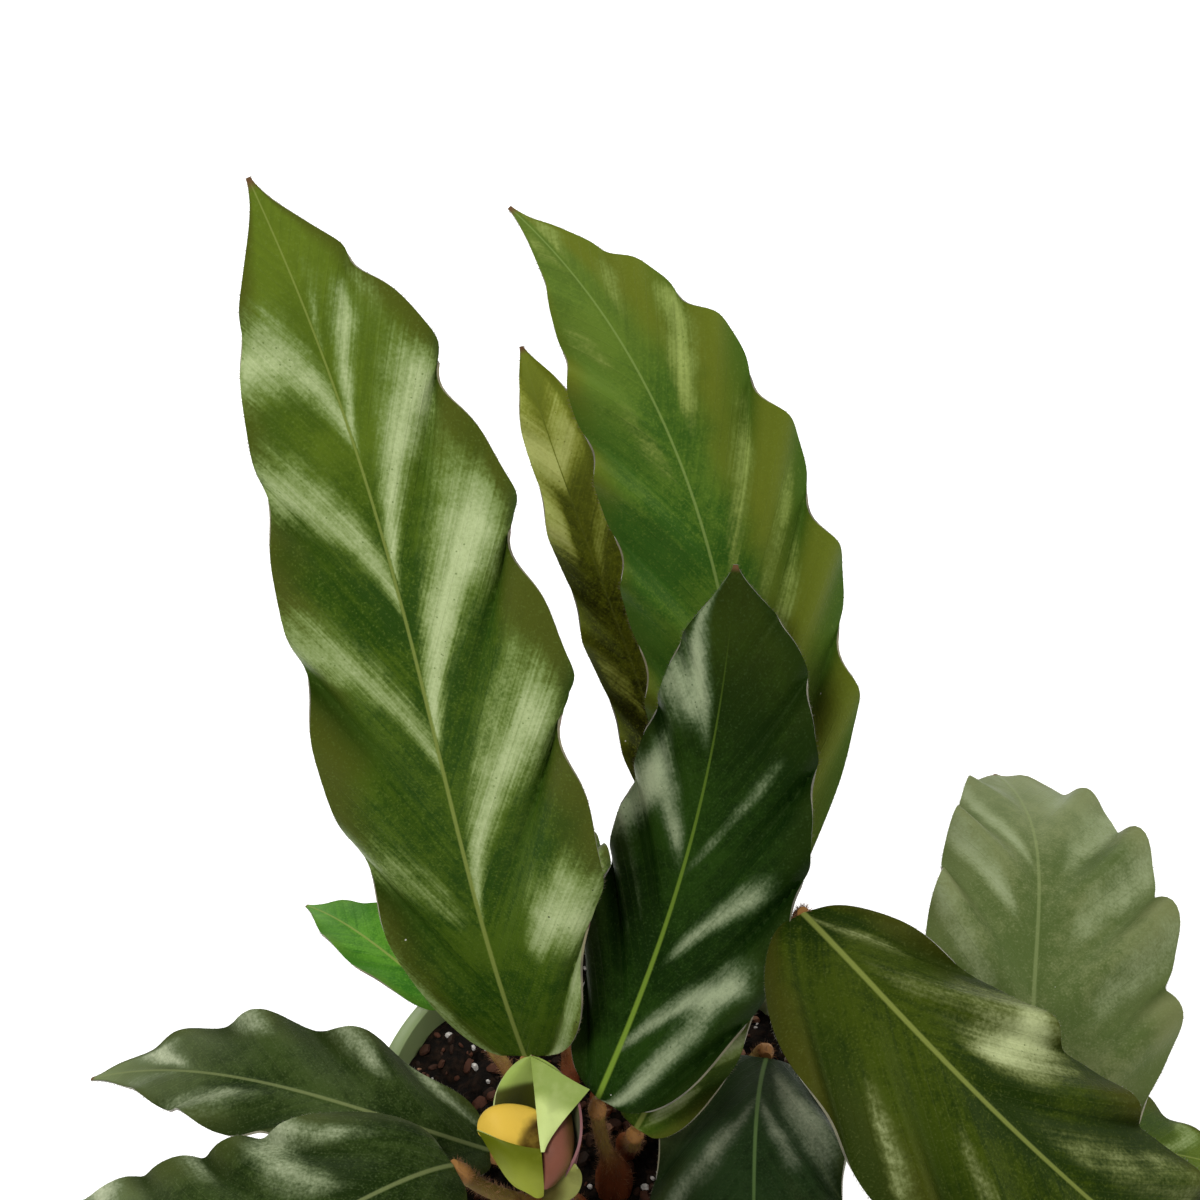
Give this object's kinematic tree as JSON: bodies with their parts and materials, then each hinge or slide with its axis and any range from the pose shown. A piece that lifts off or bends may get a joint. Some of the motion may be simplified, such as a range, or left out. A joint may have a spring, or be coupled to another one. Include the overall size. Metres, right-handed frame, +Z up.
{
  "type": "potted plant",
  "caption": "Tapered round pot of potting mix with a clump of long lance-shaped leaves with waved edges, dark green above and purple below, on hairy stalks round one rolled young leaf",
  "frame": {"origin": "centre of the pot's flat underside, on the surface it stands on", "axes": "+Z up, the plant's tallest direction; -Y the side seen from the front; +X to the right of that view"},
  "size_m": [0.3012, 0.2463, 0.3442],
  "materials": {
    "pot": "pale grey-green moulded plastic, satin",
    "potting_mix": "near-black peat with reddish-brown bark crumbs, rough",
    "leaf": "dark olive green above with a fine silvery sheen along the pleats, wine purple below, thin pale hairy margin",
    "young_leaf": "pale yellow-green, still rolled, mauve outside",
    "petiole": "red-brown with short hairs, an orange swollen joint below the blade"
  },
  "bodies": {
    "root": {"pot": "pot", "potting_mix": "potting_mix", "blade_back_left": "leaf", "petiole_back_left": "petiole", "blade_back_right": "leaf", "petiole_back_right": "petiole", "blade_back_middle": "leaf", "petiole_back_middle": "petiole", "blade_middle": "leaf", "petiole_middle": "petiole", "blade_behind_middle": "leaf", "petiole_behind_middle": "petiole", "blade_front_right": "leaf", "petiole_front_right": "petiole", "blade_right_back": "leaf", "petiole_right_back": "petiole", "blade_left_upper": "leaf", "petiole_left_upper": "petiole", "blade_left_lower": "leaf", "petiole_left_lower": "petiole", "blade_far_left": "leaf", "petiole_far_left": "petiole", "blade_back_low": "leaf", "petiole_back_low": "petiole", "blade_front_middle": "leaf", "petiole_front_middle": "petiole", "blade_right_low": "leaf", "petiole_right_low": "petiole", "blade_front_left": "leaf", "petiole_front_left": "petiole", "blade_front_low": "leaf", "petiole_front_low": "petiole", "blade_young": "young_leaf", "petiole_young": "petiole"}
  },
  "joints": []
}
